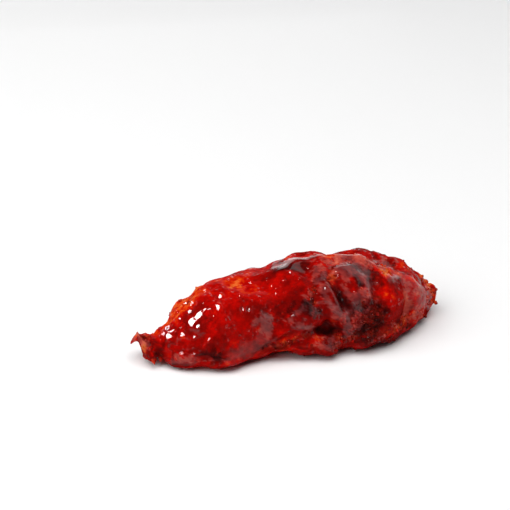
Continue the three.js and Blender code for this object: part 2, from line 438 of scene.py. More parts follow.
# x, around, reach along and across, turn, then how much darker, more rugged and barer it is there
patches = dict(
    smoothDome=(-26, 122, 24, 17, 0, 0, -0.54, -0.6),
    smoothSaddle=(-3, 110, 9, 9, 0, 0, -0.4, -0.5),
    middleDark=(1, 136, 6, 6, 0, 0.2),
    flankDark=(-20, 131, 3.8, 3.4, 0, 0.18),
    flankDarkLow=(-16.3, 139.5, 2.8, 2.6, 0, 0.2),
    ribDark=(7.1, 149, 2, 2.4, 0, 0.26),
    middleBrown=(0.5, 140, 3.6, 3.2, 0, 0.14, 0.25, 0.4),
    ribBrown=(4.5, 130, 3.2, 4.5, 0, 0.14, 0.2, 0.4),
    bandSide=(16.8, 151, 2.4, 2.2, 0, -0.18),
    # painted light: the top of the dome lighter
    domeTopLight=(-13, 106, 17, 9, 0, -0.08),
    skirtRed=(-21, 178, 8, 3.5, -10, -0.12),
    ringRed=(46, 145, 4, 7, 0, -0.1),
    underside=(0, 225, 70, 9, 0, 0.2),
    # painted shade: the lower side of the dome darker
    domeLowShade=(-32, 154, 18, 7, 0, 0.05),
    # painted shade: the right half of the tender darker all round
    rightHalfShade=(30, 130, 32, 70, 0, 0.2),
    tornTail=(-54.5, 130, 4, 14, 0, 0.18, 0.7, 0.3),
    neckDark=(-51.8, 138, 1.8, 3, 0, 0.24),
    tailRim=(-59.5, 130, 1.8, 20, 0, 0.14, 0, 0.3),
    nubRim=(-56.4, 172, 1, 7, 0, -0.34, 0, 0.6),
    edgeCrust=(-39, 66, 9, 5.5, 0, -0.22, 0.5, 0.5),
    edgeSpot=(-38.5, 86, 2.6, 2, 0, -0.18),
    shoulderSpot=(-20.3, 86, 3.6, 2.4, 0, -0.24),
    darkCrumb=(-33.3, 175, 3.8, 4, 0, 0.5, 0.9, 0.35),
    lowSpot=(-28.5, 190, 2.4, 2, 0, -0.24),
    lowRim=(-43, 189, 9, 4, 0, 0.06),
    crumbMid=(-8.5, 136, 4.5, 4.5, 0, 0.2, 0.75, 0.3),
    redBand=(-7.5, 159, 4.5, 2.2, -12, 0.08, -0.3),
    brownRidges=(-10, 178, 9, 4.5, 0, 0.12, 0.4, 0.7),
    # painted shadow: a dark band across the crown
    crownShadow=(-3, 88, 8, 2.2, 0, 0.36),
    pinkStreak=(3.5, 128, 1.8, 3.4, 0, -0.14, 0.3, 0.5),
    pinkTop=(11, 112, 2.6, 3.4, 0, -0.06, 0.3, 0.5),
    orangeTop=(14.2, 104, 1.5, 4.5, 10, -0.16, 0.2, 0.5),
    # painted shade: the deep pit darker, over rugged crust
    pit=(7.6, 169.5, 3.8, 1.7, 6, 0.45, 0.7),
    lip=(2.2, 176, 2.6, 1.7, 0, -0.08, -0.2),
    lipOrange=(4.8, 177.5, 1.6, 1.3, 0, -0.3),
    foot=(10, 186, 6, 4.5, 0, 0.02, 0.3, 0.7),
    footGap=(19.5, 187, 3, 3, 0, 0.3),
    # painted shade: the fold between the rib and the lobe darker, up to its top
    valleyShade=(15.3, 142, 4.5, 1.8, 66, 0.38),
    valleyTopShade=(13.9, 127, 1.2, 3, 0, 0.2),
    window=(18, 128, 1.7, 3.6, 0, -0.16, -0.3, -0.3),
    lobeDark=(19, 125, 7, 9, 0, 0.12),
    windowOrange=(19, 120, 1, 1.6, 0, -0.22),
    rimHole=(22.5, 127, 1.6, 1.3, 20, 0.25),
    rimEdge=(22.3, 131.5, 1.6, 0.8, 20, -0.25),
    crumbLow=(20.5, 153, 5.5, 4.5, 0, 0.02, 0.35, 0.6),
    char=(22, 170, 5, 4, 0, 0.32, 0.45, 0.4),
    charRight=(27.5, 158, 3, 4.5, 0, 0.28, 0.6, 0.3),
    eyeRed=(33.5, 143, 3.2, 5, 0, -0.24, -0.5, -0.6),
    eyeOrange=(30.5, 140, 2.2, 3.2, 0, -0.28, -0.4),
    eyeCorner=(27.3, 121, 1, 2.2, 0, 0.25),
    ring=(44, 141, 4.5, 7, 0, -0.22, -0.25, -0.3),
    ringNotch=(41.4, 158, 1, 2.6, 0, 0.22),
    lowerEnd=(35, 178, 11, 3.2, -10, -0.18, 0.05, 0.9),
    ridge=(29, 97, 17, 2, 22, -0.32, 0.6, 0.45),
    ridgeOrange=(21.5, 86, 2.4, 1.6, 10, -0.3),
    ridgeCrust=(33.6, 113, 1.9, 2.1, 0, -0.4, 0.3, 0.3),
    backRed=(29, 72, 4.5, 4, 0, -0.14, -0.3, -0.3),
    backRedFar=(42.5, 92, 3, 3, 0, -0.18, -0.2),
    backOrange=(43.5, 98, 2, 1.6, 0, -0.22),
    # the next five lighten the tone under the painted sheen
    paintedSheenGap=(24.5, 140, 2, 2.4, 0, -0.1),
    paintedSheenRing=(39.4, 147, 1.7, 5, 0, -0.26),
    paintedSheenRingLow=(45.5, 173, 3.5, 4, 0, -0.14),
    paintedSheenTail=(-57, 125, 2.6, 4.5, 0, -0.16),
    paintedSheenRimLow=(-45, 180, 5.5, 1.5, -4, -0.16),
    endRim=(54.5, 135, 3, 12, 0, -0.34, 0.3, 0.4),
    endTip=(60, 130, 3.2, 20, 0, -0.1, 0.3, 0.3),
)

# Painted sheen, a pale mauve reflection of the white studio put into the colour: x, around, reach along and
# across, turn, strength
paintedSheenPatches = dict(
    top=(9.6, 109, 2.8, 4.6, 0, 1),
    rib=(16.5, 113, 2, 4, 0, 0.9),
    lobe=(21.5, 107, 4, 4.2, 0, 0.9),
    right=(26.5, 119, 1.6, 6, 0, 0.9),
    edge=(20.4, 135, 3, 2.8, 0, 1),
    stroke=(9.8, 141, 5.2, 1.7, 64, 1.1),
    middle=(2, 137, 2.6, 2.8, 20, 0.9),
    spot=(2, 127, 1.6, 1.6, 0, 0.7),
    left=(-3, 147, 4, 0.8, -8, 0.8),
    crumb=(17.5, 156, 4.5, 5, 0, 0.8),
    pit=(11.4, 160, 2.6, 2.6, 0, 0.9),
    drip=(-1.6, 160, 4, 1.5, 26, 1.1),
    lip=(1.6, 167, 2.5, 1.5, 30, 0.7),
    foot=(7, 185, 6.5, 3.5, 0, 0.7),
    low=(28, 178, 10, 2, -10, 0.6),
    ridge=(27, 98, 9, 1.6, 22, 1),
    band=(19.5, 86, 6, 2, 0, 0.9),
    flank=(-15.6, 148, 4.8, 1.2, -6, 1.1),
    flankLow=(-14.6, 158, 2, 3.2, -5, 1),
    gap=(24.5, 140, 2, 2.4, 0, 0.8),
    ring=(39.4, 147, 1.7, 5, 0, 1.5),
    ringLow=(45.5, 173, 3.5, 4, 0, 0.8),
    ringTop=(45, 133, 3.5, 3, 0, 0.8),
    tail=(-57, 125, 2.6, 4.5, 0, 0.9),
    rimLow=(-45, 180, 5.5, 1.5, -4, 0.85),
    rim=(-34.5, 186, 6, 0.9, -12, 0.8),
    back=(38, 86, 5, 3, 10, 0.7),
)
# weaker veils of the painted sheen
paintedSheenVeils = dict(
    skirt=(-21, 178, 9.5, 3.2, -10, 1.1),
    rim=(-43, 184, 8, 1.6, 0, 1.1),
)
# and where the glaze is wrinkled
wrinkledPatches = dict(
    edgeCrust=(-39, 66, 9, 5.5, 0, 1),
    wrinkles=(-35, 90, 8, 4, 10, 0.9),
)

# Pools of thick glaze that shine more: x, around, reach along and across, turn, strength, shine
pools = dict(
    gleam=(-38, 118, 4.5, 4.5, 0, 1.4, 0.6),
    tick=(-46.8, 112, 2, 4, 0, 1.3, 0.5),
    skirt=(-21, 178, 9.5, 3.2, -10, 1.8, 0.34),
    skirtTop=(-14.5, 165, 4, 1.5, -12, 1.1, 0.5),
    rim=(-43, 184, 7, 1.6, 0, 1.3, 0.22),
    rimRight=(-38.5, 170, 4, 1, -37, 1.3, 0.3),
    flank=(-15.6, 148, 4.2, 1.3, -6, 1.3, 0.5),
    flankMiddle=(-13.6, 149, 2.6, 1.3, -8, 1.2, 0.5),
    flankLow=(-14, 157, 1.3, 3.2, 0, 1.3, 0.55),
    crown=(2, 79, 5.4, 2.8, 0, 2.3, 1),
    crownTail=(9, 82, 6, 1.6, 0, 1.3, 0.65),
    ribTop=(10, 110, 3, 3, 0, 0.6, 0.6),
    rib=(8.5, 129, 2, 2, 0, 1, 0.3),
    ribLeft=(8.7, 120, 1.9, 2.6, 0, 1.1, 0.25),
    middle=(2.5, 141, 2.6, 2.4, 0, 1.6, 0.7),
    middleLeft=(-3, 147, 3.4, 0.9, -8, 1.3, 0.5),
    stroke=(11.6, 144, 5.2, 1.6, 64, 2.1, 0.9),
    lobeTop=(17, 103, 2.6, 3.4, 0, 1.6, 0.65),
    lobe=(22, 114, 4.4, 4.2, 0, 1.8, 0.75),
    lobeRight=(24.8, 133, 1.4, 6.5, 0, 1.5, 0.9),
    lobeLow=(19.5, 139, 2.6, 2.6, 0, 1.6, 0.8),
    rimHole=(22.5, 127, 1.4, 1.2, 20, -2, 0),
    window=(18, 127, 1.5, 3.4, 0, -2, 0),
    drip=(-1.8, 160, 3.8, 1.4, 26, 1.5, 0.6),
    dripLow=(2, 168, 2.5, 1.4, 30, 1, 0.4),
    pitRight=(14.3, 168, 1.5, 5, 0, 1.3, 0.5),
    footFilm=(8, 186, 4.5, 2.6, 0, 0.6, 0.3),
    ribDry=(7.6, 123, 1.4, 1.4, 0, -2, 0),
    lobeDry=(14.5, 113, 1.3, 1.3, 0, -2, 0),
    edgeDry=(20, 130, 1.1, 1.1, 0, -1.5, 0),
    ring=(44.5, 146, 4, 6.4, 0, 1.3, 0.5),
    ringNotch=(41.4, 158, 1, 2.4, 0, -2, 0),
    eyeLid=(37.5, 119, 5, 1.8, 8, 1.2, 0.6),
    ridge=(29, 97, 15, 1.6, 22, 0.9, 0.7),
    endFilm=(52, 142, 3.5, 6, 0, 1, 0.6),
    back=(36.5, 87, 4, 3, 0, 1.1, 0.9),
)


def noiseOf(name):
    # The layered noise of this name over the main form
    return layeredNoise(base, *noises[name])


def spread(places, column=5):
    # Sum of every patch's number in this column, at places that a slow noise moves
    total = 0.0
    for place in places.values():
        if len(place) > column and place[column]:
            total += place[column] * patchAt(wanderX, wanderAngle, girth, place)
    return total


def frayed(places, noise):
    # The sum of the patches with a noise added only where they are, cut off sharply
    total = spread(places)
    total += noise * np.minimum(glaze["noiseRise"] * total, 1.0)
    return smoothStep(total, *glaze["paintedSheenEdges"])


def pooling():
    # Strength of the pools plus noise where they are, cut off sharply, and how much the film shines:
    # the mean of the pools' shines, weighted with their strengths.
    strength, shine, filled = 0.0, glaze["plainShine"], glaze["plainShare"]
    for pool in pools.values():
        near = patchAt(wanderX, wanderAngle, girth, pool)
        share = max(pool[5], 0.0) * near
        strength += pool[5] * near
        shine += pool[6] * share
        filled += share
    far = glaze["farPools"] * hidden * (glaze["farPlain"] + noiseOf("farPools"))
    pooled = glaze["poolStrength"] * strength + far - glaze["crumblyLoss"] * crumbly
    near = np.clip(glaze["noiseRise"] * pooled, glaze["leastNoise"], 1.0)
    pooled += glaze["poolNoise"] * noiseOf("pools") * near
    film = smoothStep(pooled, *glaze["filmEdges"])
    shine, filled = shine + glaze["farShine"] * hidden, filled + hidden
    return film, film * np.clip(shine / filled, 0.0, 1.0)


wanderX = baseX + crust["raggedness"] * noiseOf("wanderAlong")
wanderAngle = baseAngle + crust["raggedness"] * noiseOf("wanderAround") / girth
hidden = smoothStep(np.abs(baseAngle - np.radians(glaze["frontMiddle"])), *np.radians(glaze["frontEdges"]))
rugged = np.clip(crust["ruggedPlain"] + spread(patches, 6), 0.0, crust["ruggedMost"])
bare = spread(patches, 7) + crust["bareNoise"] * noiseOf("bare") - crust["bareStart"]
bare = smoothStep(bare + crust["bareOfRugged"] * rugged, *crust["bareEdges"])
crumblyNames = ("darkCrumb", "crumbMid", "char", "charRight", "brownRidges")
crumbly = spread({name: patches[name] for name in crumblyNames}, 6)
# The painted sheen: a pale mauve reflection painted into the base colour, with frayed edges
paintedSheen = np.maximum(frayed(paintedSheenPatches, noiseOf("paintedSheen")), glaze["paintedSheenVeil"] * frayed(paintedSheenVeils, noiseOf("paintedSheenVeil")))
film, pooled = pooling()


def warped(size, seed, warp, wide):
    # The main form's points moved by warp * size times three slope noises of wide * size
    shift = np.stack([slopeNoise(base, wide * size, seed + k) for k in range(3)], axis=-1)
    return base + warp * size * shift


def billows(size, seed, warp):
    # Rounded swellings with sharp creases between them: the absolute slope noise of warped points
    points = warped(size, seed + 20, warp, crust["warpWide"])
    return np.abs(slopeNoise(points, size, seed)) - crust["creaseDepth"]


def chunks(size, seed):
    # Broken pieces of crust, cells of their own random height with grooves where two cells are
    # equally near; and that random number about its middle
    points = warped(size, seed, crust["chunkWarp"], crust["chunkWarpWide"])
    near, second, number = cellNoise(points, size, seed + 3)
    return (number - crust["chunkLevel"]) * smoothStep(second - near, 0.0, crust["groove"]), number - 0.5


def beads():
    # Sparse rounder caps, (1 - (distance / reach)^2)^2, where the cell's number is high
    near, second, number = cellNoise(base, glaze["beadSize"], glaze["beadSeed"])
    cap = np.clip(1.0 - (near / glaze["beadReach"]) ** 2, 0.0, 1.0)
    return cap**2 * smoothStep(number, *glaze["beadChosen"])


def wrinkles():
    # Narrow folds along the tender: crest minus fall times the absolute slope noise of places that
    # are squeezed along x
    across = baseAngle * girth
    places = np.stack((baseX / crust["wrinkleLong"] + crust["wrinkleSlant"] * across,
                       across / crust["wrinkleWide"], crust["wrinkleShift"] * noiseOf("wrinkle")), axis=-1)
    folds = np.abs(slopeNoise(places, 1.0, crust["wrinkleSeed"]))
    return crust["wrinkleCrest"] - crust["wrinkleFall"] * folds


def withGlints(height):
    # Each spot is a piece of a plane that faces normal + slopes * tangents and passes through the
    # smoothed height there; exp(-(distance / reach)^4) blends it in. Calm is how shiny it makes a place.
    smooth = blurred(height, glaze["spotSmoothing"])
    alongStep = np.gradient(base, axis=0)
    calm = np.zeros_like(height)
    result = height
    for x, around, reach, slopeAlong, slopeAround, shineHere in glints.values():
        across = acrossFrom(around, baseAngle, girth)
        near = np.exp(-(((baseX - x) ** 2 + across**2) / reach**2) ** 2)
        spot = np.unravel_index(np.argmax(near), near.shape)
        normal = normals[spot]
        alongWay = alongStep[spot] - (alongStep[spot] @ normal) * normal
        alongWay /= np.linalg.norm(alongWay)
        facing = normal + slopeAlong * alongWay + slopeAround * np.cross(alongWay, normal)
        point = base[spot] + smooth[spot] * normal
        plane = ((point - base) @ facing) / np.maximum(normals @ facing, glaze["leastFacing"])
        result = result + near * (plane - result)
        calm = np.maximum(calm, shineHere * near)
    return result, calm


crustHeight = 0.0
for size, height, seed, warp, power in crust["swellings"]:
    crustHeight += rugged**power * height * billows(size, seed, warp)
chunkSize, chunkTall, chunkSeed = crust["chunks"]
crumbSize, crumbTall, crumbSeed = crust["crumbs"]
chunkHeight, chunkShade = chunks(chunkSize, chunkSeed)
crumbHeight, crumbShade = chunks(crumbSize, crumbSeed)
crumbled = np.clip(rugged + crust["bareCrumbs"] * bare, 0.0, crust["mostCrumbs"])
crustHeight += rugged * chunkTall * chunkHeight
crustHeight += crumbled * crumbTall * crumbHeight

# The glaze follows the smoothed crust at its own depth; the higher of glaze and crust is the surface
flow = 0.5 + 0.5 * noiseOf("flow")
coatDepth = glaze["depth"] + (glaze["craggyDepth"] - glaze["depth"]) * np.minimum(rugged, 1.0)
glazeHeight = blurred(crustHeight, glaze["level"]) + coatDepth * (0.5 + flow)
glazeHeight = glazeHeight - glaze["bareLoss"] * bare + glaze["filmDepth"] * film
stickyBeads = glaze["beadHeight"] * beads() * (1.0 - film) * (1.0 - glaze["beadPaintedSheenLoss"] * paintedSheen)
glazeHeight += stickyBeads
gap = (glazeHeight - crustHeight) / glaze["blend"]
surfaceHeight = crustHeight + glaze["blend"] * np.logaddexp(0.0, gap)
depth = surfaceHeight - crustHeight

# Ripples, wrinkles and the small forms; the pools even out, and the glints are cut flat
wrinkled = np.clip(spread(wrinkledPatches), 0.0, 1.0)
surfaceHeight = surfaceHeight + glaze["rippleHeight"] * noiseOf("ripple") - glaze["sunk"]
surfaceHeight += wrinkled * crust["wrinkleHeight"] * wrinkles()
for place in details.values():
    surfaceHeight += place[5] * patchAt(baseX, baseAngle, girth, place)
levelled = blurred(surfaceHeight, glaze["filmReach"])
surfaceHeight += glaze["filmLevelling"] * film * (levelled - surfaceHeight)
surfaceHeight, calm = withGlints(surfaceHeight)
surfaceHeight = surfaceHeight * np.minimum(halfWidth / glaze["thin"], 1.0)
surface = base + surfaceHeight[..., None] * normals
surface[..., 2] = np.maximum(surface[..., 2], 0.0)

# The glaze is darker where it is thick, hollows are darkened as painted shade, and the tan crust shows
# through where the glaze is thin
cavity = blurred(surfaceHeight, toning["hollowReach"]) - surfaceHeight
shift = spread(patches)
flecks = chunkShade + crumbShade + toning["fleckNoise"] * noiseOf("flecks")
lift = shift * (toning["liftPlain"] + toning["liftFlecks"] * smoothStep(flecks, *toning["fleckEdges"]))
tone = toning["plain"] + np.where(shift < 0.0, lift, shift) + toning["film"] * film
thicker = depth - toning["middleDepth"]
tone += toning["depth"] * np.clip(thicker, -toning["mostDepth"], toning["mostDepth"])
tone += toning["hollow"] * np.clip(cavity, -toning["mostHollow"], toning["mostHollow"])
mottled = toning["chunk"] * chunkShade + toning["crumb"] * crumbShade + toning["mottle"] * noiseOf("mottle")
tone += np.clip(rugged * toning["ruggedMottle"], 0.0, 1.0) * mottled
print("surface height in mm:", surfaceHeight.min().round(2), surfaceHeight.max().round(2))
print("glaze depth in mm:", np.percentile(depth, (5, 50, 95)).round(2))


def newMesh(name, verts, faces, values):
    # A smooth mesh of these points in mm and these faces, with one number per point and field
    mesh = bpy.data.meshes.new(name)
    mesh.from_pydata((verts / metre).tolist(), [], faces)
    mesh.polygons.foreach_set("use_smooth", np.ones(len(faces), dtype=bool))
    for field, numbers in values.items():
        layer = mesh.attributes.new(field, "FLOAT", "POINT")
        layer.data.foreach_set("value", numbers.astype(np.float32))
    mesh.update()
    return mesh


def poleToPole(grid):
    # The first and the last ring of a grid are single points, so only one of each is kept
    inner = grid[1:-1].reshape(-1, *grid.shape[2:])
    return np.concatenate((grid[:1, 0], inner, grid[-1:, 0]))


def ringFaces(rings, sides):
    # Triangles round the first point, quads between the rings and triangles round the last point
    here = 1 + np.arange(rings * sides).reshape(rings, sides)
    after = np.roll(here, -1, axis=1)
    first = np.stack((0 * here[0], after[0], here[0]), axis=-1)
    quads = np.stack((here[:-1], after[:-1], after[1:], here[1:]), axis=-1)
    last = np.stack((0 * here[0] + 1 + rings * sides, here[-1], after[-1]), axis=-1)
    return first, quads, last


def gridMesh(name, points, values):
    # Closed mesh of a grid of rings whose first and last ring are points
    first, quads, last = ringFaces(len(points) - 2, points.shape[1])
    faces = quads.reshape(-1, 4).tolist() + first.tolist() + last.tolist()
    values = {field: poleToPole(grid) for field, grid in values.items()}
    return newMesh(name, poleToPole(points), faces, values)


def newObject(data):
    # Puts a mesh, light or camera into the scene at the origin
    item = bpy.data.objects.new(data.name, data)
    bpy.context.collection.objects.link(item)
    return item


def addPiece(mesh):
    # Puts a mesh into the scene on the one body
    piece = newObject(mesh)
    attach(piece, "root")
    return piece


fields = {
    "tone": np.clip(tone, 0.0, 1.0),
    "bare": bare,
    "pooled": np.maximum(pooled, calm),
    "paintedSheen": paintedSheen * (1.0 - calm),
}
crustPiece = addPiece(gridMesh("glazedCrust", surface, fields))
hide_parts("tender")


crumbs = dict(
    count=560,
    smallest=0.28, largest=0.8,  # radius in mm
    fewLarge=2.2,  # power that keeps large ones rare
    sunk=0.45,  # share of the radius that lies in the crust
    stretch=(0.6, 1.35), dents=(0.72, 1.2),  # least and most
    onRugged=0.25, ruggedStart=0.4,  # how likely they are on craggy crust, and from where
    lowest=0.6,  # mm above the table
    fewer=0.9,  # share that is missing on films and over the top
    topMiddle=70, topReach=25,  # degrees
    thin=(4.0, 9.0),  # half widths between which they begin
    toneShift=(-0.06, 0.14), bare=(0.0, 0.8), pooled=(0.0, 0.3),
    rings=4, sides=7,
    seed=7,
)


def lumpDirections(rings, sides):
    # Points of a ball: latitude rings between two poles
    rise = np.linspace(0, np.pi, rings + 2)[1:-1]
    turn = np.linspace(0, 2 * np.pi, sides, endpoint=False)
    rise, turn = np.meshgrid(rise, turn, indexing="ij")
    ball = np.stack((np.sin(rise) * np.cos(turn), np.sin(rise) * np.sin(turn), np.cos(rise)), axis=-1)
    return np.concatenate(([[0, 0, 1]], ball.reshape(-1, 3), [[0, 0, -1]]))


def lumpFaces(rings, sides):
    # The same faces turned round, because these rings run the other way, and the quads halved
    parts = ringFaces(rings, sides)
    first, quads, last = [np.roll(part[..., ::-1], 1, axis=-1) for part in parts]
    halves = np.stack((quads[..., :3], quads[..., [0, 2, 3]]), axis=1).reshape(-1, 3)
    return np.concatenate((first, halves, last))


def randomTurns(rng, count):
    # Random quaternions written out as turning matrices
    quaternions = rng.normal(size=(4, count))
    w, x, y, z = quaternions / np.linalg.norm(quaternions, axis=0)
    rows = (
        (1 - 2 * (y * y + z * z), 2 * (x * y - z * w), 2 * (x * z + y * w)),
        (2 * (x * y + z * w), 1 - 2 * (x * x + z * z), 2 * (y * z - x * w)),
        (2 * (x * z - y * w), 2 * (y * z + x * w), 1 - 2 * (x * x + y * y)),
    )
    return np.moveaxis(np.array(rows), -1, 0)


def crumbOdds():
    # Bareness squared plus a share of the craggy excess squared, times the girth; less on films,
    # on thin parts and over the top, and nothing next to the table.
    craggy = np.clip(rugged - crumbs["ruggedStart"], 0, 1) ** 2
    odds = (bare**2 + crumbs["onRugged"] * craggy) * girth
    odds = odds * (base[..., 2] > crumbs["lowest"]) * (1.0 - crumbs["fewer"] * pooled)
    odds = odds * smoothStep(halfWidth, *crumbs["thin"])
    fromTop = np.abs(baseAngle - np.radians(crumbs["topMiddle"]))
    return odds * (1.0 - crumbs["fewer"] * smoothStep(fromTop, np.radians(crumbs["topReach"]), 0.0))


def makeCrumbs():
    # Each crumb is a ball squashed and turned at random, its points pushed in and out, half sunk
    # in the crust, at a vertex drawn by the odds.
    rng = np.random.default_rng(crumbs["seed"])
    odds = crumbOdds()
    odds = odds.ravel() / odds.sum()
    count = crumbs["count"]
    chosen = rng.choice(odds.size, size=count, replace=False, p=odds)
    spots = surface.reshape(-1, 3)[chosen]
    out = normals.reshape(-1, 3)[chosen]
    share = rng.uniform(0, 1, count) ** crumbs["fewLarge"]
    radius = crumbs["smallest"] + (crumbs["largest"] - crumbs["smallest"]) * share
    shape = lumpDirections(crumbs["rings"], crumbs["sides"])
    stretch = rng.uniform(*crumbs["stretch"], (count, 1, 3))
    dents = rng.uniform(*crumbs["dents"], (count, len(shape), 1))
    balls = shape[None] * stretch * dents * radius[:, None, None]
    balls = np.einsum("nij,nkj->nki", randomTurns(rng, count), balls)
    centres = spots + out * (radius * (1 - 2 * crumbs["sunk"]))[:, None]
    verts = (centres[:, None] + balls).reshape(-1, 3)
    verts[:, 2] = np.maximum(verts[:, 2], 0.0)
    starts = np.arange(count)[:, None, None] * len(shape)
    faces = (lumpFaces(crumbs["rings"], crumbs["sides"])[None] + starts).reshape(-1, 3)
    own = {
        "tone": np.clip(fields["tone"].ravel()[chosen] + rng.uniform(*crumbs["toneShift"], count), 0, 1),
        "bare": rng.uniform(*crumbs["bare"], count),
        "pooled": rng.uniform(*crumbs["pooled"], count),
        "paintedSheen": fields["paintedSheen"].ravel()[chosen],
    }
    own = {field: np.repeat(numbers, len(shape)) for field, numbers in own.items()}
    return addPiece(newMesh("crustCrumbs", verts, faces.tolist(), own))


# where a shred starts (x from the middle, around), which way it points (x, y, z), length, radius, bow
shreds = dict(
    lowTooth=(-50.5, 215, (-0.1, -0.75, -0.65), 2.2, 0.9, 0.4),
    lowLeft=(-53.2, 192, (-0.15, -0.95, -0.2), 2.3, 0.9, 0.4),
    endTooth=(58.3, 150, (0.8, -0.1, 0.5), 1.6, 0.9, 0.2),
    endLow=(57.0, 190, (0.7, -0.6, -0.3), 1.5, 0.8, 0.2),
)
shredShape = dict(
    rings=12, sides=9,
    sunk=0.9,  # mm of its root inside the crust
    blunt=2.5,  # power of the fall of the radius
    tip=0.02,  # least value under the square root
    swell=0.2, swells=9,
    rough=(0.75, 1.2),
    tone=0.30, toneNoise=0.35, bare=0.5, pooled=0.2,
    noiseSize=1.8, noiseSeed=5,
    degree=0.1,  # mm that a degree counts for when the nearest point is looked for
    seed=17,
)


def makeShreds():
    # A tapering tube along a bowed path: centre = start + way * t + bow * sin(pi t), and the radius
    # falls with sqrt(1 - t^blunt) and swells and pinches a little on the way.
    verts, faces = [], []
    rng = np.random.default_rng(shredShape["seed"])
    rings, sides, sunk = shredShape["rings"], shredShape["sides"], shredShape["sunk"]
    t = np.linspace(0, 1, rings)
    turn = np.linspace(0, 2 * np.pi, sides, endpoint=False)
    for x, around, way, length, radius, bow in shreds.values():
        miss = (baseX - x) ** 2 + ((np.degrees(baseAngle) - around) * shredShape["degree"]) ** 2
        spot = np.unravel_index(np.argmin(miss), miss.shape)
        way = np.array(way) / np.linalg.norm(way)
        start = surface[spot] - sunk * way
        aside = np.cross(way, (0, 0, 1.0))
        aside /= np.linalg.norm(aside)
        upward = np.cross(aside, way)
        centre = start + t[:, None] * way * (length + sunk) + bow * np.sin(np.pi * t)[:, None] * upward
        size = radius * np.sqrt(np.maximum(1 - t ** shredShape["blunt"], shredShape["tip"]))
        size = size * (1 + shredShape["swell"] * np.sin(shredShape["swells"] * t + around))
        ring = np.cos(turn)[:, None] * aside + np.sin(turn)[:, None] * upward
        rough = rng.uniform(*shredShape["rough"], (rings, sides, 1))
        tube = centre[:, None] + size[:, None, None] * ring[None] * rough
        points = np.concatenate(([centre[0]], tube.reshape(-1, 3), [centre[-1]]))
        points[:, 2] = np.maximum(points[:, 2], 0.0)
        faces.append(lumpFaces(rings, sides) + sum(len(part) for part in verts))
        verts.append(points)
    verts = np.concatenate(verts)
    noise = slopeNoise(verts, shredShape["noiseSize"], shredShape["noiseSeed"])
    own = {
        "tone": np.clip(shredShape["tone"] + shredShape["toneNoise"] * noise, 0, 1),
        "bare": np.full(len(verts), shredShape["bare"]),
        "pooled": np.full(len(verts), shredShape["pooled"]),
        "paintedSheen": np.zeros(len(verts)),
    }
    return addPiece(newMesh("tornShreds", verts, np.concatenate(faces).tolist(), own))


crumbPiece = makeCrumbs()
shredPiece = makeShreds()
print("crumbs and shreds:", len(crumbPiece.data.polygons), len(shredPiece.data.polygons), "faces")


finish = dict(
    # places on the tone scale and the glaze's colour there
    tones=(
        (0.00, (0.68, 0.13, 0.022)),  # bare crust
        (0.12, (0.64, 0.045, 0.004)),  # thin glaze over crust
        (0.28, (0.47, 0.0022, 0.0010)),  # bright red
        (0.50, (0.22, 0.0020, 0.0012)),
        (0.72, (0.085, 0.0020, 0.0018)),
        (1.00, (0.018, 0.0015, 0.0015)),  # burnt
    ),
    # and the dry crust's colour there
    browns=(
        (0.00, (0.60, 0.15, 0.040)),
        (0.20, (0.44, 0.045, 0.012)),
        (0.45, (0.20, 0.011, 0.005)),
        (0.70, (0.075, 0.005, 0.003)),
        (1.00, (0.02, 0.003, 0.002)),
    ),
    # and the painted sheen's colour there, a pale mauve that stands for the reflection of the white studio
    paintedSheenColours=(
        (0.00, (0.60, 0.13, 0.075)),
        (0.25, (0.45, 0.060, 0.042)),
        (0.50, (0.27, 0.028, 0.024)),
        (0.75, (0.12, 0.015, 0.016)),
        (1.00, (0.03, 0.008, 0.008)),
    ),
    # unevenness of the tone: size in mm, detail, roughness, amount
    speckle=(1.7, 3.0, 0.6, 0.09),
    cloud=(5.0, 3.0, 0.5, 0.08),
    toast=(2.2, 4.0, 0.6, 0.13),  # only where the crust is bare
    wetRoughness=0.08, bareRoughness=0.35,
    gloss=0.0,  # the coat alone shines
    plainCoat=0.05, pooledCoat=0.9, bareCoat=0.7,
    coatRoughness=0.05,
    drops=(1.6, 2.4, 0.50, 0.80),  # spacing in mm, narrowness, cell numbers from which they appear
    dropHeight=0.18, dropCoat=0.9,
    dropEdges=(0.1, 0.4),  # the larger of pooled and painted sheen at which they fade out
    scatter=0.2, scatterColour=(1.0, 0.2, 0.1), scatterDepth=0.002,
    waves=(2.2, 2.0), waveHeight=0.12,  # size in mm and detail
    waveEdges=(0.1, 0.6), waveStrength=(0.35, 0.06),  # outside and in the pools
    grain=(0.8, 3.0, 0.6), grainHeight=0.25, grainStrength=(0.03, 0.6),  # glazed and bare
)


